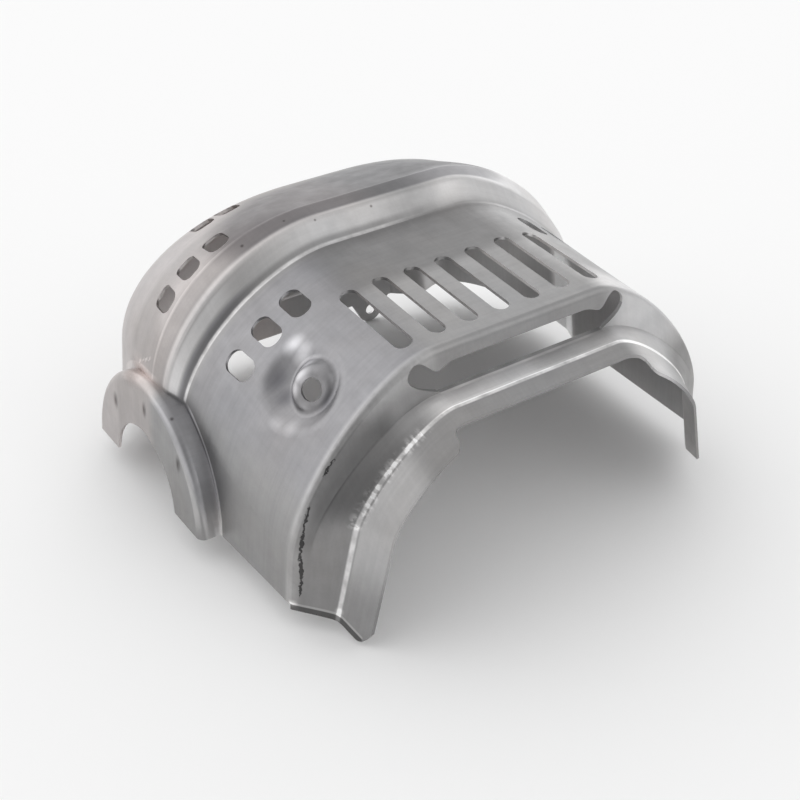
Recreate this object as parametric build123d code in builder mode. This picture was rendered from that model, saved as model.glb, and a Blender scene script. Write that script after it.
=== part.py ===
"""Exhaust heat shield: one pressed sheet of bare steel, open below and at its front.

X is across the shield, +Y runs from the front arch back to the closed dome and +Z is up. It is
drawn from the middle of the front crease, at the level of the side walls' lower edge, and then
moved so that the origin is the middle of its bounding box's lowest face.
The sheet is the space between two filled forms, an outer one and an inner one, one sheet
thickness apart, with the openings cut through both.
"""
import os
from math import atan2, cos, radians, sin, tan

from build123d import *

# The sheet
SHEET = 1.2
BELOW = 16.0  # how far the filled forms run down past the side walls' lower edge

# Cross-sections from front to back, each set out from the one before it: place, half width at
# the lower edge, inward lean of the side in degrees, height where the shoulder begins, half
# width of the flat crown, height of the crown, fullness of the shoulder's curve, and how much
# less full the right one is
FRONT = dict(y=0.0, foot=84.5, lean=13.5, spring=32.0, flat=36.0, crown=68.0, full=0.38, slack=0.04)
LEDGE = dict(
    y=FRONT["y"] + 8.4,
    foot=FRONT["foot"] + 9.5,
    lean=6.5,
    spring=22.0,
    flat=FRONT["flat"] + 1.0,
    crown=FRONT["crown"] + 1.2,
    full=0.40,
    slack=0.03,
)
BROW = dict(
    y=LEDGE["y"] + 3.6,
    foot=LEDGE["foot"] + 4.0,
    lean=4.0,
    spring=19.0,
    flat=FRONT["flat"],
    crown=LEDGE["crown"] + 14.8,
    full=0.42,
    slack=0.03,
)
VALLEY = dict(
    y=BROW["y"] + 78.5,
    foot=BROW["foot"] + 3.5,
    lean=8.0,
    spring=37.0,
    flat=29.0,
    crown=BROW["crown"] + 4.5,
    full=0.48,
    slack=0.09,
)
RIDGE = dict(
    y=VALLEY["y"] + 8.0,
    foot=VALLEY["foot"] + 3.5,
    lean=7.5,
    spring=VALLEY["spring"] + 2.0,
    flat=VALLEY["flat"] - 1.0,
    crown=VALLEY["crown"] + 8.0,
    full=0.53,
    slack=0.12,
)
PLATEAU = dict(
    y=RIDGE["y"] + 9.0,
    foot=RIDGE["foot"] + 0.5,
    lean=6.5,
    spring=RIDGE["spring"] + 2.0,
    flat=RIDGE["flat"] + 2.0,
    crown=RIDGE["crown"] + 1.0,
    full=0.57,
    slack=0.11,
)

# The collar in front of the front crease
COLLAR_LENGTH = 12.6  # along Y, on the legs
COLLAR_TURN = 25.0  # inward slope, degrees
COLLAR_TOP = 6.2  # length left over the top, between the two notches
NOTCH_LEFT = 6.0  # how far outside the flat crown each notch lies
NOTCH_RIGHT = 9.5
REAR_DROP = 1.5  # how far the left lower edge drops at the rear
FOOT_DROP = 5.0  # and at the front crease
LIP = 2.2  # the lip left standing down below the step's side
TOE_Y = 9.5  # the left leg's toe, bent down further
TOE_DROP = 10.5
TOE_R = 2.5
HEEL_RISE = 5.0  # the right leg's lower edge, cut away upwards

# The dome behind the plateau: its sections' places behind the plateau, how far each lies below
# the plateau's crown and inside its foot, its share of the plateau's flat, and how much less
# full its right shoulder is
DOME = (
    (5.5, 0.9, 0.3, 0.95, 0.13),
    (14.5, 2.7, 1.2, 0.80, 0.12),
    (28.5, 6.6, 3.4, 0.60, 0.07),
    (42.5, 12.2, 7.0, 0.45, 0.0),
    (54.5, 22.0, 13.0, 0.33, 0.0),
    (62.5, 48.5, 25.5, 0.28, 0.0),
    (67.5, 80.0, 50.5, 0.17, 0.0),
)
DOME_FULL = 0.61

# Radii of the creases
FRONT_SOFT = 1.4  # the front crease is rounded over this length to each side
BROW_R = 3.0
VALLEY_R = 2.0
RIDGE_R = 4.0

# The neck on the left side and its half-round mouth
NECK_Y = PLATEAU["y"] - 1.2
NECK_R = 46.5
NECK_RISE = -3.0  # its centre, from the lower edge
NECK_REACH = PLATEAU["foot"] + 3.0  # end face, from the middle of the shield
NECK_LEAN = 4.6  # inward lean of the end face, degrees
NECK_ROOT = NECK_REACH - 48.5
NECK_EDGE_R = 3.5
NECK_BAND = 20.5  # left between the neck's outside and its mouth
MOUTH_R = NECK_R - NECK_BAND
MOUTH_Y = NECK_Y + 1.0
MOUTH_RISE = NECK_RISE - 1.2

# Cooling slots in the crown
SLOTS = 7
SLOT_PITCH = 14.0
SLOT_WIDTH = 7.0
SLOT_LENGTH = 41.0
SLOT_Y = BROW["y"] + 28.4

# Wide slot across the step: half widths and heights of its outline
WIDE_HALF = 28.0
WIDE_LOW = LEDGE["crown"] - 0.2
WIDE_HIGH = BROW["crown"] - 5.5
WIDE_DIP = (WIDE_HALF + 9.5, WIDE_HIGH - 1.7)
WIDE_LOBE = (WIDE_HALF + 16.2, WIDE_HIGH + 2.7)
WIDE_TIP = (WIDE_HALF + 20.5, WIDE_HIGH - 1.5)
WIDE_HEEL = (WIDE_HALF + 9.4, WIDE_LOW + 0.4)
WIDE_FROM = FRONT["y"] + 4.6  # where it starts
WIDE_TO = BROW["y"] + 9.6  # and ends

# Oblong holes beside the slots, each side
OBLONG_Y = VALLEY["y"] - 19.0
OBLONG_LENGTH = 15.0
OBLONG_WIDTH = 9.2
OBLONG_R = 4.2
OBLONG_PLACES = (0.39, 0.55, 0.70)  # along the shoulder, from the side to the crown

# Square holes in the dome's left shoulder: each row's place behind the plateau, then places
# along the shoulder
SQUARE_ROWS = ((8.5, (0.35, 0.505, 0.65)), (38.0, (0.66, 0.765)))
SQUARE_LENGTH = 12.6  # along the shield, measured on the skin
SQUARE_WIDTH = 9.6
SQUARE_R = 3.4

# Bolt seat in a pressed bowl on the left shoulder: places behind the brow and along the
# shoulder, and how far their middles stand out from the skin
BOLT_HOLE_R = 4.2
SEAT_Y = BROW["y"] + 24.0
SEAT_PLACE = 0.537
SEAT_OUT = 0.6
SEAT_AXIS = (-0.77, -0.37, 0.51)
SEAT_R = 8.0
SEAT_FLANK = 4.0  # how much wider it is at its root
SEAT_DEPTH = 9.0
SEAT_EDGE_R = 3.8
SEAT_FOOT_R = 2.2
BOWL_Y = SEAT_Y + 5.0
BOWL_PLACE = 0.528
BOWL_OUT = -0.2
BOWL_AXIS = (-0.72, -0.05, 0.69)
BOWL_R = 17.5
BOWL_DEPTH = 4.5
BOWL_RIM_R = 8.0

# Ear below the rear wall
EAR_X = 42.3
EAR_DROP = 5.0
EAR_R = 6.5
EAR_ROOT = 11.0
EAR_HOLE_R = 2.5

LEAD = 3.0  # how far a cut or a form runs on past the sheet
CUT = 14.0  # reach of a hole's cut to each side of the sheet


def side_x(station, z, inset):
    """Half width of a cross-section's straight side at one height."""
    lean = radians(station["lean"])
    return station["foot"] - z * tan(lean) - inset / cos(lean)


def shoulder(station, side, inset=0.0):
    """The four control points of one cross-section's shoulder curve: distance from the middle
    plane and height; side is -1 on the left and 1 on the right."""
    lean = radians(station["lean"])
    low_z = station["spring"] - inset * sin(lean)
    low = Vector(side_x(station, low_z, inset), low_z)
    high = Vector(station["flat"], station["crown"] - inset)
    corner = Vector(side_x(station, high.Y, inset), high.Y)
    full = station["full"] - station["slack"] * (side > 0)
    return low, low + (corner - low) * full, high + (corner - high) * full, high


def between(first, second, y):
    """The cross-section of the straight wall between two stations, at one place in Y."""
    share = (y - first["y"]) / (second["y"] - first["y"])
    return {name: first[name] + (second[name] - first[name]) * share for name in first}


def on_shoulder(station, place, side):
    """Point and outward direction on the shoulder curve, as the curve's own distances from the
    middle plane and heights; place runs from 0 at the side to 1 at the crown."""
    a, b, c, d = shoulder(station, side)
    rest = 1 - place
    point = a * rest**3 + b * (3 * rest**2 * place) + c * (3 * rest * place**2) + d * place**3
    along = (b - a) * rest**2 + (c - b) * (2 * rest * place) + (d - c) * place**2
    return point, Vector(along.Y, -along.X).normalized()


def arch(station, y, inset):
    """Sketch of one cross-section, filled, inset from the outer form."""
    right = [(p.X, p.Y) for p in shoulder(station, 1, inset)]
    left = [(-p.X, p.Y) for p in shoulder(station, -1, inset)]
    foot = side_x(station, -BELOW, inset)
    with BuildSketch(Plane.XZ.offset(-y)) as sketch:
        with BuildLine():
            Line((foot, -BELOW), right[0])
            Bezier(*right)
            Line(right[3], left[3])
            Bezier(*reversed(left))
            Line(left[0], (-foot, -BELOW))
            Line((-foot, -BELOW), (foot, -BELOW))
        make_face()
    return sketch.sketch


def crease(form, y):
    """The edges of a form that lie across it at one place in Y, without the lowest one."""
    boxes = [(edge, edge.bounding_box()) for edge in form.edges()]
    return [
        edge
        for edge, box in boxes
        if abs(box.min.Y - y) < 0.01 and abs(box.max.Y - y) < 0.01 and box.max.Z > 1 - BELOW
    ]


def body(inset):
    """The collar, the step, the main body, the ridge and the plateau, filled."""
    lead = COLLAR_LENGTH + LEAD
    turn = tan(radians(COLLAR_TURN))
    mouth = dict(FRONT, y=-lead, foot=FRONT["foot"] - lead * turn, crown=FRONT["crown"] - lead * turn)
    stations = [mouth, FRONT, LEDGE, BROW, VALLEY, RIDGE, PLATEAU]
    stations[1:2] = [between(mouth, FRONT, -FRONT_SOFT), between(FRONT, LEDGE, FRONT_SOFT)]
    slopes = [
        atan2(b["foot"] - a["foot"] + b["crown"] - a["crown"], 2 * (b["y"] - a["y"]))
        for a, b in zip(stations, stations[1:])
    ]
    shifts = [0.0] + [inset * tan((a + b) / 2) for a, b in zip(slopes, slopes[1:])] + [0.0]
    with BuildPart() as form:
        for station, shift in zip(stations, shifts):
            add(arch(station, station["y"] + shift, inset))
        loft(ruled=True)
        fillet(crease(form, BROW["y"] + shifts[4]), BROW_R - inset)
        fillet(crease(form, VALLEY["y"] + shifts[5]), VALLEY_R + inset)
        fillet(crease(form, RIDGE["y"] + shifts[6]), RIDGE_R - inset)
    return form.part


def dome_station(place, drop, draw, flat, slack, inset=0.0):
    """One cross-section of the dome, drawn in towards the plateau's middle for the inner form."""
    crown = PLATEAU["crown"] - drop
    wall = inset / cos(radians(PLATEAU["lean"]))
    return dict(
        y=PLATEAU["y"] + place * (1 - inset / DOME[-1][0]),
        foot=(PLATEAU["foot"] - draw) * (1 - wall / PLATEAU["foot"]),
        lean=PLATEAU["lean"],
        spring=PLATEAU["spring"] * crown / PLATEAU["crown"],
        flat=PLATEAU["flat"] * flat,
        crown=crown * (1 - inset / PLATEAU["crown"]),
        full=DOME_FULL,
        slack=slack,
    )


def dome(inset):
    """The closed rear part, filled."""
    with BuildPart() as form:
        add(arch(PLATEAU, PLATEAU["y"], inset))
        for section in DOME:
            station = dome_station(*section, inset)
            add(arch(station, station["y"], 0.0))
        loft()
    return form.part


def neck(inset):
    """The half-round boss on the left side, filled."""
    lean = radians(NECK_LEAN)
    face = Plane(
        origin=(inset - NECK_REACH, NECK_Y, 0), x_dir=(0, 1, 0), z_dir=(cos(lean), 0, -sin(lean))
    )
    radius = NECK_R - inset
    with BuildPart() as form:
        with BuildSketch(face):
            with Locations((0, NECK_RISE)):
                Circle(radius)
            with Locations((0, (NECK_RISE - BELOW) / 2)):
                Rectangle(2 * radius, NECK_RISE + BELOW)
            with Locations((0, -BELOW - NECK_R)):
                Rectangle(2 * NECK_R, 2 * NECK_R, mode=Mode.SUBTRACT)
        extrude(amount=NECK_REACH - NECK_ROOT)
        rim = form.faces().sort_by(Axis.X)[0].edges()
        fillet([edge for edge in rim if edge.bounding_box().max.Z > 1 - BELOW], NECK_EDGE_R - inset)
    return form.part


def shoulder_plane(station, place, side):
    """A plane on the outer skin at one place of the shoulder; its own X runs along the shield."""
    point, out = on_shoulder(station, place, side)
    return Plane(
        origin=(side * point.X, station["y"], point.Y), x_dir=(0, 1, 0), z_dir=(side * out.X, 0, out.Y)
    )


def left_skin(y, place, out):
    """A point beside the skin of the left shoulder, between the brow and the valley."""
    skin = shoulder_plane(between(BROW, VALLEY, y), place, -1)
    return skin.origin + skin.z_dir * out


def bowl(inset):
    """The ball that presses the bowl into the shoulder."""
    radius = (BOWL_R**2 + BOWL_DEPTH**2) / (2 * BOWL_DEPTH)
    axis = Vector(*BOWL_AXIS).normalized()
    with BuildPart() as form:
        with Locations(BOWL_CENTRE + axis * (radius - BOWL_DEPTH)):
            Sphere(radius + inset)
    return form.part


def seat(inset):
    """The flat-topped seat that stands in the bowl."""
    slope = atan2(SEAT_FLANK, SEAT_DEPTH)
    top = SEAT_R + inset * tan(slope) - inset / cos(slope)
    axis = Vector(*SEAT_AXIS).normalized()
    face = Plane(origin=SEAT_CENTRE - axis * inset, z_dir=-axis)
    with BuildPart() as form:
        with BuildSketch(face):
            Circle(top)
        with BuildSketch(face.offset(SEAT_DEPTH)):
            Circle(top + SEAT_FLANK)
        loft()
        flat = min(form.faces(), key=lambda one: (one.center() - face.origin).length)
        fillet(flat.edges(), SEAT_EDGE_R - inset)
    return form.part


def filled(inset):
    """The whole outer form, or the inner one at the given inset."""
    with BuildPart() as form:
        add(body(inset))
        add(dome(inset))
        add(neck(inset))
        add(bowl(inset), mode=Mode.SUBTRACT)
        rim = [edge for edge in form.edges() if (edge.center() - BOWL_CENTRE).length < BOWL_R]
        fillet(rim, BOWL_RIM_R - inset)
        add(seat(inset))
        cones = form.faces().filter_by(GeomType.CONE)
        flank = min(cones, key=lambda face: (face.center() - SEAT_CENTRE).length)
        smooth = (GeomType.CIRCLE, GeomType.LINE)
        fillet([edge for edge in flank.edges() if edge.geom_type not in smooth], SEAT_FOOT_R + inset)
    return form.part


def dome_at(y):
    """The dome's cross-section at one place in Y."""
    stations = [dome_station(*section) for section in DOME]
    after = [station["y"] > y for station in stations].index(True)
    return between(stations[after - 1], stations[after], y)


REAR = dome_station(*DOME[-1])["y"]
REAR_INNER = dome_station(*DOME[-1], SHEET)["y"]
FAR = NECK_REACH + LEAD

SEAT_CENTRE = left_skin(SEAT_Y, SEAT_PLACE, SEAT_OUT)
BOWL_CENTRE = left_skin(BOWL_Y, BOWL_PLACE, BOWL_OUT)

outer = filled(0.0)
inner = filled(SHEET)

with BuildPart() as shield:
    add(outer)
    add(inner, mode=Mode.SUBTRACT)

    # Lower edges: the left one has a lip below the step and drops to the toe, the right one
    # rises towards the front
    with BuildSketch(Plane.YZ):
        with BuildLine():
            Polyline(
                (REAR + LEAD, -2 * BELOW),
                (REAR + LEAD, -REAR_DROP),
                (BROW["y"], 0),
                (BROW["y"], -LIP),
                (0, -FOOT_DROP),
                (-TOE_Y, -TOE_DROP),
                (-COLLAR_LENGTH, -TOE_DROP / 2),
                (-COLLAR_LENGTH - 2 * LEAD, -TOE_DROP / 2),
                (-COLLAR_LENGTH - 2 * LEAD, -2 * BELOW),
                close=True,
            )
        make_face()
        fillet([v for v in vertices() if abs(v.X + TOE_Y) < 0.01], TOE_R)
    extrude(amount=-FAR, mode=Mode.SUBTRACT)
    with BuildSketch(Plane.YZ):
        with BuildLine():
            Polyline(
                (REAR + LEAD, -2 * BELOW),
                (REAR + LEAD, 0),
                (0, 0),
                (-COLLAR_LENGTH - 2 * LEAD, HEEL_RISE * (1 + 2 * LEAD / COLLAR_LENGTH)),
                (-COLLAR_LENGTH - 2 * LEAD, -2 * BELOW),
                close=True,
            )
        make_face()
    extrude(amount=FAR, mode=Mode.SUBTRACT)

    # Front edge, cut back over the top between the two notches
    with BuildSketch(Plane.XY.offset(-BELOW - LEAD)):
        with BuildLine():
            Polyline(
                (FAR, -COLLAR_LENGTH),
                (FRONT["flat"] + NOTCH_RIGHT, -COLLAR_LENGTH),
                (FRONT["flat"] + NOTCH_RIGHT, -COLLAR_TOP),
                (-FRONT["flat"] - NOTCH_LEFT, -COLLAR_TOP),
                (-FRONT["flat"] - NOTCH_LEFT, -COLLAR_LENGTH),
                (-FAR, -COLLAR_LENGTH),
                (-FAR, -COLLAR_LENGTH - 2 * LEAD),
                (FAR, -COLLAR_LENGTH - 2 * LEAD),
                close=True,
            )
        make_face()
        notch_r = 0.45 * (COLLAR_LENGTH - COLLAR_TOP)
        fillet([v for v in vertices() if abs(v.X) < FAR - 1], notch_r)
    extrude(amount=BELOW + LEAD + FRONT["crown"], mode=Mode.SUBTRACT)

    # Cooling slots
    with BuildSketch(Plane.XY.offset(BROW["crown"] - CUT)):
        with GridLocations(SLOT_PITCH, 0, SLOTS, 1):
            with Locations((0, SLOT_Y)):
                SlotOverall(SLOT_LENGTH, SLOT_WIDTH, rotation=90)
    extrude(amount=2 * CUT, mode=Mode.SUBTRACT)

    # Wide slot across the step
    with BuildSketch(Plane.XZ.offset(-WIDE_FROM)):
        with BuildLine():
            Line((0, WIDE_HIGH), (WIDE_HALF, WIDE_HIGH))
            Spline(
                (WIDE_HALF, WIDE_HIGH),
                WIDE_DIP,
                WIDE_LOBE,
                WIDE_TIP,
                WIDE_HEEL,
                (WIDE_HALF, WIDE_LOW),
                tangents=((1, 0), (-1, 0)),
            )
            Line((WIDE_HALF, WIDE_LOW), (0, WIDE_LOW))
            mirror(about=Plane.YZ)
        make_face()
    extrude(amount=WIDE_FROM - WIDE_TO, mode=Mode.SUBTRACT)

    # Oblong holes in both shoulders and square holes in the dome's left one
    for side in (-1, 1):
        for place in OBLONG_PLACES:
            skin = shoulder_plane(between(BROW, VALLEY, OBLONG_Y), place, side)
            with BuildSketch(skin.offset(-CUT)):
                RectangleRounded(OBLONG_LENGTH, OBLONG_WIDTH, OBLONG_R)
            extrude(amount=2 * CUT, mode=Mode.SUBTRACT)
    for row, places in SQUARE_ROWS:
        for place in places:
            skin = shoulder_plane(dome_at(PLATEAU["y"] + row), place, -1)
            with BuildSketch(skin.offset(-CUT)):
                RectangleRounded(SQUARE_LENGTH, SQUARE_WIDTH, SQUARE_R)
            extrude(amount=2 * CUT, mode=Mode.SUBTRACT)

    # Half-round mouth in the neck's end
    with BuildSketch(Plane.YZ.offset(-FAR)):
        with Locations((MOUTH_Y, MOUTH_RISE)):
            Circle(MOUTH_R)
    extrude(amount=FAR - NECK_REACH + 2 * LEAD, mode=Mode.SUBTRACT)

    # Bolt hole
    with BuildSketch(Plane(origin=SEAT_CENTRE, z_dir=SEAT_AXIS)):
        Circle(BOLT_HOLE_R)
    extrude(amount=SEAT_DEPTH, both=True, mode=Mode.SUBTRACT)

    # Ear on the rear wall
    with BuildSketch(Plane.XZ.offset(-REAR_INNER)):
        with BuildLine():
            Line((EAR_X - EAR_ROOT, SHEET), (EAR_X + EAR_ROOT, SHEET))
            CenterArc((EAR_X, -EAR_DROP), EAR_R, 180, 180)
        make_hull()
    extrude(amount=REAR_INNER - REAR)
    with BuildSketch(Plane.XZ.offset(-REAR_INNER + LEAD)):
        with Locations((EAR_X, -EAR_DROP)):
            Circle(EAR_HOLE_R)
    extrude(amount=-LEAD * 3, mode=Mode.SUBTRACT)

box = shield.part.bounding_box()
middle = box.center()

with BuildPart() as placed:
    with Locations((-middle.X, -middle.Y, -box.min.Z)):
        add(shield.part)

placed.part.label = "shield"
os.makedirs("parts", exist_ok=True)
export_step(placed.part, "parts/shield.step")
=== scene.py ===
"""Exhaust heat shield, pressed from one sheet of bare steel: its finish, with light and shade painted
onto it, its studio and its camera.
"""

import bpy
import numpy as np
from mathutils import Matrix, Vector

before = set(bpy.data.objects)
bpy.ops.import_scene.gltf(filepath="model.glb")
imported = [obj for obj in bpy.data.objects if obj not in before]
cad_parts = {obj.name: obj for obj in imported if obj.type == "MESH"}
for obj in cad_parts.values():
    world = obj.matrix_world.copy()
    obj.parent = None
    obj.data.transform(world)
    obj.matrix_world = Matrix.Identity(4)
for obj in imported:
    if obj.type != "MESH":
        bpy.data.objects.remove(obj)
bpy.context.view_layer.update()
MM = 0.001

# The finish is laid out in the drawing, in millimetres: x runs across the shield, y back from the
# front crease and z up. DRAWN is the drawing's origin, the middle of that crease, in the frame.
DRAWN = np.array((1.5499, -81.2, 11.5))

FRONT, BROW, VALLEY, PLATEAU = 0.0, 12.0, 90.5, 107.5  # how far back the creases lie that are painted bright, partly as rubbing and partly as painted highlight
FAR = 400.0                      # further than any part of the shield
HEART = (0.0, 60.0, 10.0)        # the middle of the shield
NECK_AXIS = (0.0, 106.3, -3.0)   # a point on the axis of the neck's round, which runs along x
ACROSS_NECK = (1e6, 1.0, 1.0)    # a stretch that leaves only the distance across that axis
FOOT_EDGE = -5.0                 # height of the left foot's lower edge at the front crease
FOOT_SLOPES = (0.233, 0.579)     # that edge's slopes behind the front crease and before it

# Kinds of node, and the sockets of a Mix node that hold colours
MATHS, VECTORS = "ShaderNodeMath", "ShaderNodeVectorMath"
MIX_FIRST, MIX_SECOND, MIX_RESULT = 6, 7, 2

# Colours of the clean and the oily steel, and of the paper under it
CLEAN, OILY, PAPER = "#a4a5a7", "#a8a5a3", "#f6f6f6"
PAPER_ROUGHNESS = 0.9

# Tints of bare steel, a warm and a cool one, which the layers of grime and of painted light and shade
# below take on
WARM = np.array((1.04, 0.988, 0.972))
COOL = np.array((0.988, 0.99, 1.022))
EVEN = np.array((1.0, 1.0, 1.0))

# Noises: stretch of the drawing, scale and detail
NOISES = {
    "bloom": ((1.0, 1.0, 1.0), 0.022, 3.0),
    "mottle": ((1.0, 1.0, 1.0), 0.13, 4.0),
    "tooth": ((1.0, 1.0, 1.0), 1.1, 2.0),
    "swell": ((1.0, 1.0, 0.6), 0.045, 1.5),
    "drawing lines": ((0.05, 1.0, 0.035), 0.75, 3.0),
    "rolling lines": ((1.0, 0.035, 0.05), 0.75, 3.0),
    "scuff lines": ((0.55, 0.10, 0.55), 0.9, 3.0),
    "rag": ((1.0, 1.0, 1.0), 0.7, 3.0),
}
NOISE_ROUGHNESS = 0.55
NOISE_MIDDLE = (0.5, 0.5, 0.5)
RAG_REACH = (2.2, 2.2, 2.2)  # full width of the shift that tears the edges of marks

# Patterns drawn from a noise: which one, the values it rises between and the pattern's own there
PATTERNS = {
    "broken": ("mottle", 0.35, 0.62, 0.35, 1.0),
    "scuff streaks": ("scuff lines", 0.47, 0.62, 0.0, 1.0),
    "scuff patches": ("mottle", 0.36, 0.50, 0.0, 1.0),
    "dullness": ("mottle", 0.3, 0.7, 0.34, 0.44),
}

# Marks, each of one or more spots: middle and reach
MARKS = {
    # Small dents in the neck's end
    "dents": (
        ((-106.7, 133.2, 22.1), (5.0, 2.8, 5.2)),
        ((-105.9, 105.8, 32.6), (5.0, 2.4, 4.8)),
        ((-106.5, 77.3, 24.4), (5.0, 2.4, 5.0)),
    ),
    # Specks of grime
    "specks": (
        ((-59.8, 103.8, 90.6), (1.1, 1.1, 1.1)),
        ((-41.6, 103.4, 96.0), (0.8, 0.8, 0.8)),
        ((-6.3, 97.0, 95.0), (0.9, 0.9, 0.9)),
        ((-31.2, 97.9, 95.7), (0.8, 0.8, 0.8)),
        ((-103.0, 86.5, 38.5), (1.2, 1.2, 1.2)),
    ),
    # Round the bolt seat: a painted highlight on the crest above it, painted shade on the walls before
    # and behind it, and painted highlights on its rims
    "seat crest": (
        ((-65.6, 57.0, 73.0), (7.0, 5.0, 6.0)),
        ((-65.6, 52.0, 72.2), (7.0, 5.0, 6.0)),
        ((-67.6, 45.6, 72.0), (7.0, 5.0, 6.0)),
        ((-71.6, 41.6, 70.4), (6.0, 4.4, 5.0)),
        ((-75.2, 42.0, 66.0), (5.0, 3.6, 5.0)),
    ),
    "seat walls": (
        ((-74.5, 54.5, 62.8), (8.0, 6.0, 8.0)),
        ((-75.8, 47.5, 59.8), (7.0, 6.0, 6.0)),
        ((-69.5, 29.5, 66.5), (6.0, 3.0, 9.0)),
    ),
    "seat rims": (
        ((-75.0, 35.6, 62.2), (3.0, 3.6, 2.4)),
        ((-82.9, 42.1, 54.8), (5.0, 5.0, 4.0)),
        ((-80.6, 35.0, 56.0), (5.0, 5.0, 4.0)),
    ),
    # Painted highlights on the corners of the left foot, where it folds
    "corners": (
        ((-84.9, -0.1, -1.0), (2.6, 2.2, 2.4)),
        ((-97.3, 11.5, 0.6), (2.6, 2.2, 2.2)),
    ),
}

# Black drag marks of the press on the step's left side: middle, half length, half width and lean
DRAG_MARKS = (
    ((-80.1, 11.5, 53.3), 3.8, 0.45, 0.68),
    ((-90.0, 10.9, 36.5), 4.6, 0.60, 0.38),
    ((-92.9, 10.3, 26.5), 6.8, 0.75, 0.22),
    ((-93.9, 10.0, 16.5), 6.4, 0.85, 0.06),
    ((-94.5, 9.9, 8.2), 4.4, 0.70, 0.14),
)
DRAG_DEPTH = 4.0
DRAG_LENGTHENING = 1.7            # spots reach past the marks' ends, because they fade there
DRAG_LIMITS = (0.50, 2.0, 0.25)   # how full of a spot is black, and how fast it fades

# Hammer ticks where the neck meets the dome
TICKS = ((-99.2, 120.4, 45.0), (-99.0, 117.4, 46.8), (-98.9, 114.6, 48.4), (-98.8, 111.8, 50.0))
TICK_REACH = (3.0, 0.9, 2.6)
TICK_TURN = (0.7, 0.0, 0.0)

# Marks with torn edges: middle, reach and turn of their spots
TORN_MARKS = {
    "drags": [(middle, (width, DRAG_DEPTH, half * DRAG_LENGTHENING), (0.0, lean, 0.0))
              for middle, half, width, lean in DRAG_MARKS],
    "ticks": [(middle, TICK_REACH, TICK_TURN) for middle in TICKS],
    # The facet hammered above the neck, and the hollow in it
    "hammered": (((-101.0, 119.0, 42.0), (9.0, 18.0, 7.0)),),
    "hollow": (((-101.5, 121.5, 39.6), (9.0, 13.0, 4.6)),),
}

# Stretches of the steel that several layers share: what is measured, from where to where, and
# the length over which it fades outside them
LEFT = ("x", -FAR, -60, 8)
MIDDLE = ("x", -36, 36, 14)
STEP = ("y", 0.9, 11.4, 0.5)
STRIP = (("y", 0.6, 8.0, 0.6), ("z", 62, FAR, 4), MIDDLE)
FOOT = (("y", -9.5, 12.2, 0.6), LEFT)
NECK_SIDE = ("from neck", 43.0, 46.6, 0.2)
BEYOND_NECK = ("from neck", 47.6, FAR, 1.2)
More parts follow.
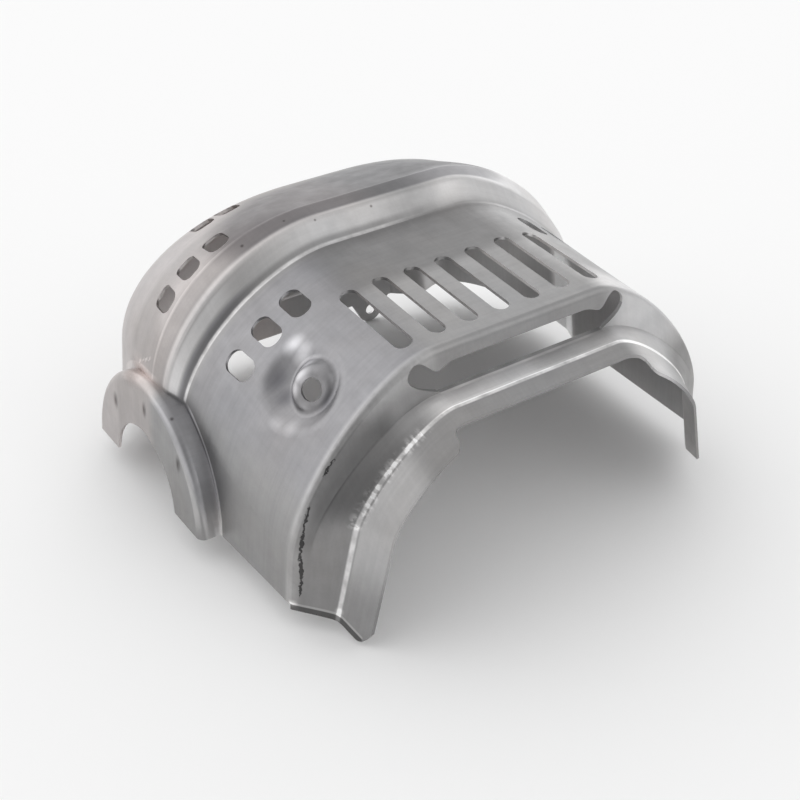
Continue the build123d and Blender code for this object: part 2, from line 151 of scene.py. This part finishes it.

# Layers of colour: how much lighter or darker they make the steel, their tint and where they show,
# which is where all of the stretches, patterns and marks that follow meet. Apart from the grain, the
# scuffs, the ticks, the grime, the dents and the drag marks, they are painted light and shade
LAYERS = (
    # The sheet's own grain
    (0.84, EVEN, "drawing lines"),
    (0.90, EVEN, "rolling lines"),
    (0.88, EVEN, "mottle"),
    (0.92, EVEN, "tooth"),
    # The inner skin, which faces the middle of the shield, brightened with painted light for the light
    # that bounces inside it
    (1.75, EVEN, ("outwards", -2.0, -0.25, 0.15)),
    # Painted shade on the step's sides, darker on the left
    (0.88, EVEN, STEP, ("z", -FAR, 62, 8)),
    (0.78, EVEN, STEP, ("z", 42, 62, 10), LEFT),
    (0.80, EVEN, ("y", 8.2, 11.2, 0.5), ("z", 28, 66, 8), LEFT),
    # Painted light on the level strip behind the front crease, brighter on the left
    (1.60, EVEN, *STRIP),
    (1.40, EVEN, *STRIP, ("x", -FAR, -6, 16)),
    # Painted light on the body's left side
    (1.10, EVEN, ("y", 14, 88, 4), ("x", -FAR, -88, 8), ("z", -FAR, 40, 14), BEYOND_NECK),
    # Painted shade on the valley's rear wall, and a painted highlight on the ridge's crest and on the
    # ridge itself, on the left
    (0.74, COOL, ("y", 91.4, 93.0, 0.8), ("x", -FAR, -72, 14), BEYOND_NECK),
    (1.45, EVEN, ("y", 94.6, 97.0, 1.2), ("x", -FAR, -78, 12), BEYOND_NECK),
    (1.60, EVEN, ("y", 93.5, 100.0, 1.6), ("x", -FAR, -14, 40), BEYOND_NECK),
    # Painted light on the dome's left shoulder, and on its rear
    (1.26, WARM, ("y", 104, FAR, 8), ("x", -FAR, -20, 25)),
    (1.18, EVEN, ("y", 134, FAR, 5), ("x", -FAR, -50, 15)),
    # Painted shade on the plateau and on the crown behind the slots, and painted light on the ridge's
    # right end
    (0.44, COOL, ("y", 101, FAR, 2), ("z", 92, FAR, 9)),
    (0.66, EVEN, ("y", 60, 87, 8), ("z", 74, FAR, 8), MIDDLE),
    (2.0, EVEN, ("y", 93.5, 106, 6), ("x", 34, FAR, 24)),
    # Painted shade on the body's left shoulder, and painted light on the collar's left side and on the
    # right shoulder's front
    (0.86, COOL, ("y", 16, 86, 4), ("x", -FAR, -46, 14), ("z", 50, FAR, 16)),
    (1.50, EVEN, ("y", -FAR, -1.4, 0.6), ("z", 24, 52, 20), LEFT),
    (2.0, EVEN, ("x", 52, FAR, 16), ("z", 56, FAR, 14), ("y", -FAR, 20, 16)),
    # The neck: a painted highlight on the rim of its end, painted shade on its side and painted light
    # on its root
    (1.45, EVEN, ("from neck", 43.4, 45.2, 0.7), ("x", -FAR, -104.6, 0.8), ("y", -FAR, 96, 8),
     ("z", 8, FAR, 8)),
    (0.84, COOL, NECK_SIDE, ("x", -105.4, -80, 1.4), ("y", -FAR, 92, 8), ("z", 16, FAR, 12)),
    (1.60, EVEN, NECK_SIDE, ("x", -105.4, -97, 1.0), ("y", -FAR, 80, 6), ("z", -FAR, 20, 14)),
    # The slots' cut rims: bright cut metal, with a painted highlight on it
    (1.6, EVEN, ("lean", -0.5, 0.5, 0.1), ("z", 74, FAR, 2), ("y", 14, 64, 2), ("x", -52, 52, 2)),
    # The hammered facet, shown by a painted highlight with painted shade in its hollow, and the arc
    # between it and the neck, painted bright, partly as rubbing and partly as a painted highlight
    (1.25, WARM, "hammered"),
    (0.66, WARM, "hollow"),
    (1.45, EVEN, ("from neck", 46.5, 48.5, 1.0), ("x", -FAR, -92, 3), ("y", 110, 136, 8), "broken"),
    # The bolt seat: a painted highlight on its crest, painted shade on its walls and painted
    # highlights on its rims
    (2.2, EVEN, "seat crest"),
    (0.62, COOL, "seat walls"),
    (1.35, EVEN, "seat rims"),
    # Creases painted bright, partly rubbed and partly a painted highlight on their rounded edges: the
    # front crease, the brow, the valley, the plateau's and the neck's
    (2.7, EVEN, ("y", FRONT - 0.5, FRONT + 0.2, 0.6), "broken"),
    (1.45, EVEN, ("y", BROW - 0.6, BROW + 1.6, 2.4), "broken", ("x", -FAR, -40, 6)),
    (2.3, EVEN, ("y", VALLEY - 0.5, VALLEY + 0.2, 0.7), "broken", ("x", -FAR, -10, 30),
     BEYOND_NECK),
    (1.35, EVEN, ("y", PLATEAU - 0.3, PLATEAU + 0.3, 0.5), "broken", BEYOND_NECK),
    (2.6, EVEN, ("from neck", 46.7, 47.6, 0.4), ("x", -101.5, -80, 1.2), ("y", -FAR, 84, 6)),
    # The left foot: painted shade along its lower edge, a painted highlight on the fold just above it
    # and painted highlights on the corners
    (0.42, EVEN, *FOOT, ("above foot", -FAR, 2.1, 0.4)),
    (1.5, EVEN, *FOOT, ("above foot", 2.6, 3.0, 0.5)),
    (1.9, EVEN, "corners"),
    # Scuffs across the front crease, hammer ticks, grime, dents and drag marks
    (2.0, EVEN, ("y", -0.4, 0.6, 2.6), ("z", 36, 61, 5), ("x", -FAR, -46, 4),
     "scuff streaks", "scuff patches"),
    (1.5, EVEN, "ticks"),
    (0.35, WARM, "specks"),
    (0.30, WARM, "dents"),
    (0.24, EVEN, "drags"),
)

# Height of the skin in millimetres, as a bump: how far each pattern or mark raises it
RISES = (
    ("swell", 0.35),
    ("mottle", 0.06),
    ("drawing lines", 0.02),
    ("rolling lines", 0.015),
    ("dents", -0.5),
    ("drags", -0.15),
    ("ticks", 0.25),
    ("hollow", -0.8),
)

# The lobes of the studio's light: direction they come from, how tight, strength
LOBES = (
    ((-0.3, 0.75, 0.6), 2.0, 1.06),
    ((0.465, -0.54, 0.65), 5.0, 0.94),
    ((-0.75, 0.6, 0.2), 3.0, 0.56),
    ((0.8, 0.6, 0.05), 8.0, 1.63),
)
AMBIENT = 0.39

FLOOR_REACH = 15.0  # metres from the middle of the floor to its sides

# The camera at the photograph's place, 34.4 degrees round to the left and 34.6 degrees up: where
# it is in metres, which way it looks, and its lens and range
EYE = (-0.254449, -0.368828, 0.331246)
SIGHT = (0.464994, 0.679227, -0.567830)
SENSOR_WIDTH, FOCAL_LENGTH = 36.0, 58.5  # millimetres
NEAREST, FURTHEST = 0.01, 60.0           # metres


def linear(code):
    """A colour given as sRGB hex, as linear red, green, blue and alpha."""
    parts = [int(code[i:i + 2], 16) / 255 for i in (1, 3, 5)]
    return tuple(p / 12.92 if p <= 0.04045 else ((p + 0.055) / 1.055) ** 2.4 for p in parts) + (1.0,)


def add_node(tree, kind, settings=(), inputs=(), links=()):
    """Adds a node with its settings, its sockets' values and the links into it."""
    node = tree.nodes.new(kind)
    for name, value in dict(settings).items():
        setattr(node, name, value)
    for name, value in dict(inputs).items():
        node.inputs[name].default_value = value
    for name, source in dict(links).items():
        tree.links.new(source, node.inputs[name])
    return node


def reckon(tree, kind, operation, *terms):
    """The outputs of a calculation whose terms are values or other nodes' outputs."""
    values, links = {}, {}
    for i, term in enumerate(terms):
        (links if isinstance(term, bpy.types.NodeSocket) else values)[i] = term
    return add_node(tree, kind, {"operation": operation}, values, links).outputs


def together(tree, operation, shares):
    """Several shares taken together, one after the other, by the same operation."""
    total = shares[0]
    for share in shares[1:]:
        total = reckon(tree, MATHS, operation, total, share)[0]
    return total


def zone(tree, value, low, high, ease):
    """1 from low to high, easing to 0 over the given length outside them."""
    rise = add_node(tree, "ShaderNodeMapRange", {"interpolation_type": "SMOOTHSTEP"},
                    {"From Min": low - ease, "From Max": low}, {"Value": value})
    return add_node(tree, "ShaderNodeMapRange", {"interpolation_type": "SMOOTHSTEP"},
                    {"From Min": high, "From Max": high + ease, "To Max": 0.0},
                    {"Value": value, "To Min": rise.outputs[0]}).outputs[0]


def spot(tree, places, centre, reach, turn=(0.0, 0.0, 0.0)):
    """1 at a point of the drawing, easing to 0 at the surface of an ellipsoid round it."""
    local = add_node(tree, "ShaderNodeMapping", {"vector_type": "TEXTURE"},
                     {"Location": centre, "Rotation": turn, "Scale": reach}, {"Vector": places})
    away = reckon(tree, VECTORS, "LENGTH", local.outputs[0])["Value"]
    return add_node(tree, "ShaderNodeMapRange", {"interpolation_type": "SMOOTHSTEP"},
                    {"To Min": 1.0, "To Max": 0.0}, {"Value": away}).outputs[0]


def mark(tree, places, spots):
    """The share of a mark, which is the largest share of its spots."""
    return together(tree, "MAXIMUM", [spot(tree, places, *each) for each in spots])


def measures_of(tree, drawn, normal):
    """What stretches of the steel are measured by, each as a node's output."""
    x, y, z = add_node(tree, "ShaderNodeSeparateXYZ", links={0: drawn}).outputs
    lean = add_node(tree, "ShaderNodeSeparateXYZ", links={0: normal}).outputs[2]

    # How far the skin faces away from the middle of the shield: 1 outside, -1 inside
    ray = reckon(tree, VECTORS, "NORMALIZE", reckon(tree, VECTORS, "SUBTRACT", drawn, HEART)[0])[0]
    outwards = reckon(tree, VECTORS, "DOT_PRODUCT", ray, normal)["Value"]

    # Distance from the axis of the neck's round
    across = add_node(tree, "ShaderNodeMapping", {"vector_type": "TEXTURE"},
                      {"Location": NECK_AXIS, "Scale": ACROSS_NECK}, {"Vector": drawn})
    from_neck = reckon(tree, VECTORS, "LENGTH", across.outputs[0])["Value"]

    # Height above the left foot's lower edge, which falls faster before the front crease
    slopes = [reckon(tree, MATHS, "MULTIPLY", y, slope)[0] for slope in FOOT_SLOPES]
    edge = together(tree, "MINIMUM", slopes)
    lifted = reckon(tree, MATHS, "ADD", z, -FOOT_EDGE)[0]
    above_foot = reckon(tree, MATHS, "SUBTRACT", lifted, edge)[0]
    return {"x": x, "y": y, "z": z, "lean": lean, "outwards": outwards, "from neck": from_neck,
            "above foot": above_foot}


def shares_of(tree, drawn):
    """The shares of all noises, patterns and marks, each as a node's output."""
    shares = {}
    for name, (stretch, scale, detail) in NOISES.items():
        stretched = add_node(tree, "ShaderNodeMapping", {}, {"Scale": stretch}, {"Vector": drawn})
        noise = add_node(tree, "ShaderNodeTexNoise", {},
                         {"Scale": scale, "Detail": detail, "Roughness": NOISE_ROUGHNESS},
                         {"Vector": stretched.outputs[0]})
        shares[name] = noise.outputs["Color" if name == "rag" else "Fac"]

    # The drawing's places, shifted raggedly by up to a millimetre, for marks with torn edges
    shift = reckon(tree, VECTORS, "SUBTRACT", shares.pop("rag"), NOISE_MIDDLE)[0]
    ragged = reckon(tree, VECTORS, "MULTIPLY_ADD", shift, RAG_REACH, drawn)[0]

    for name, (noise, low, high, start, end) in PATTERNS.items():
        shares[name] = add_node(tree, "ShaderNodeMapRange", {},
                                {"From Min": low, "From Max": high, "To Min": start, "To Max": end},
                                {"Value": shares[noise]}).outputs[0]
    for name, spots in MARKS.items():
        shares[name] = mark(tree, drawn, spots)
    for name, spots in TORN_MARKS.items():
        shares[name] = mark(tree, ragged, spots)
    shares["drags"] = zone(tree, shares["drags"], *DRAG_LIMITS)
    return shares


def bare_steel():
    """Bare cold-rolled steel sheet, pressed and handled: a dull metal that mirrors only broadly,
    with the fine lines of rolling and drawing in it, bright along its creases, partly rubbed and
    partly painted highlight, a slightly warm, oily bloom, and light and shade painted onto many of its
    regions."""
    material = bpy.data.materials.new("bare_pressed_steel")
    material.use_nodes = True
    tree = material.node_tree
    tree.nodes.clear()
    sight = add_node(tree, "ShaderNodeTexCoord").outputs
    drawn = add_node(tree, "ShaderNodeMapping", {},
                     {"Location": -DRAWN, "Scale": (1 / MM, 1 / MM, 1 / MM)},
                     {"Vector": sight["Object"]}).outputs[0]
    measures = measures_of(tree, drawn, sight["Normal"])
    shares = shares_of(tree, drawn)

    def share_of(part):
        """The share of a pattern or mark by its name, or of a stretch, which is made once."""
        if part not in shares:
            measure, *limits = part
            shares[part] = zone(tree, measures[measure], *limits)
        return shares[part]

    colour = add_node(tree, "ShaderNodeMix", {"data_type": "RGBA"},
                      {MIX_FIRST: linear(CLEAN), MIX_SECOND: linear(OILY)},
                      {0: shares["bloom"]}).outputs[MIX_RESULT]
    for light, tint, *where in LAYERS:
        share = together(tree, "MULTIPLY", [share_of(part) for part in where])
        colour = add_node(tree, "ShaderNodeMix", {"data_type": "RGBA", "blend_type": "MULTIPLY"},
                          {MIX_SECOND: (*(light * tint), 1.0)},
                          {0: share, MIX_FIRST: colour}).outputs[MIX_RESULT]

    height = 0.0
    for name, rise in RISES:
        height = reckon(tree, MATHS, "MULTIPLY_ADD", shares[name], rise, height)[0]
    bump = add_node(tree, "ShaderNodeBump", {}, {"Strength": 1.0, "Distance": MM},
                    {"Height": height})

    shader = add_node(tree, "ShaderNodeBsdfPrincipled", {}, {"Metallic": 1.0},
                      {"Base Color": colour, "Roughness": shares["dullness"],
                       "Normal": bump.outputs[0]})
    add_node(tree, "ShaderNodeOutputMaterial", links={"Surface": shader.outputs["BSDF"]})
    return material


def studio_paper():
    """A sheet of white studio paper: matt, pale and even."""
    material = bpy.data.materials.new("studio_paper")
    material.use_nodes = True
    shader = material.node_tree.nodes["Principled BSDF"]
    shader.inputs["Base Color"].default_value = linear(PAPER)
    shader.inputs["Roughness"].default_value = PAPER_ROUGHNESS
    return material


def level_square(name, reach, material):
    """A level square at height 0, with its middle at the origin, as an object."""
    mesh = bpy.data.meshes.new(name)
    corners = [(-reach, -reach, 0.0), (reach, -reach, 0.0), (reach, reach, 0.0), (-reach, reach, 0.0)]
    mesh.from_pydata(corners, [], [(0, 1, 2, 3)])
    mesh.materials.append(material)
    piece = bpy.data.objects.new(name, mesh)
    bpy.context.scene.collection.objects.link(piece)
    return piece


def studio_light():
    """The world: an even grey with broad soft lobes, strength = ambient + sum of
    strength * max(0, cosine to the lobe's direction) ** tightness."""
    world = bpy.data.worlds.new("studio")
    world.use_nodes = True
    tree = world.node_tree
    tree.nodes.clear()
    sight = add_node(tree, "ShaderNodeTexCoord").outputs["Generated"]
    total = AMBIENT
    for direction, tightness, strength in LOBES:
        aim = Vector(direction).normalized()
        facing = reckon(tree, VECTORS, "DOT_PRODUCT", sight, aim)["Value"]
        front = reckon(tree, MATHS, "MAXIMUM", facing, 0.0)[0]
        tight = reckon(tree, MATHS, "POWER", front, tightness)[0]
        lobe = reckon(tree, MATHS, "MULTIPLY", tight, strength)[0]
        total = reckon(tree, MATHS, "ADD", lobe, total)[0]
    sky = add_node(tree, "ShaderNodeBackground", {}, {"Color": (1, 1, 1, 1)}, {"Strength": total})
    add_node(tree, "ShaderNodeOutputWorld", links={"Surface": sky.outputs[0]})
    bpy.context.scene.world = world


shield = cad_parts["shield"]
steel = bare_steel()
shield.data.materials.clear()
shield.data.materials.append(steel)

floor = level_square("floor", FLOOR_REACH, studio_paper())

studio_light()
bpy.context.scene.view_settings.view_transform = "Standard"

lens = bpy.data.cameras.new("camera")
lens.sensor_width = SENSOR_WIDTH
lens.lens = FOCAL_LENGTH
lens.clip_start, lens.clip_end = NEAREST, FURTHEST
camera = bpy.data.objects.new("camera", lens)
bpy.context.scene.collection.objects.link(camera)
camera.location = EYE
camera.rotation_mode = "QUATERNION"
camera.rotation_quaternion = Vector(SIGHT).to_track_quat("-Z", "Y")
bpy.context.scene.camera = camera
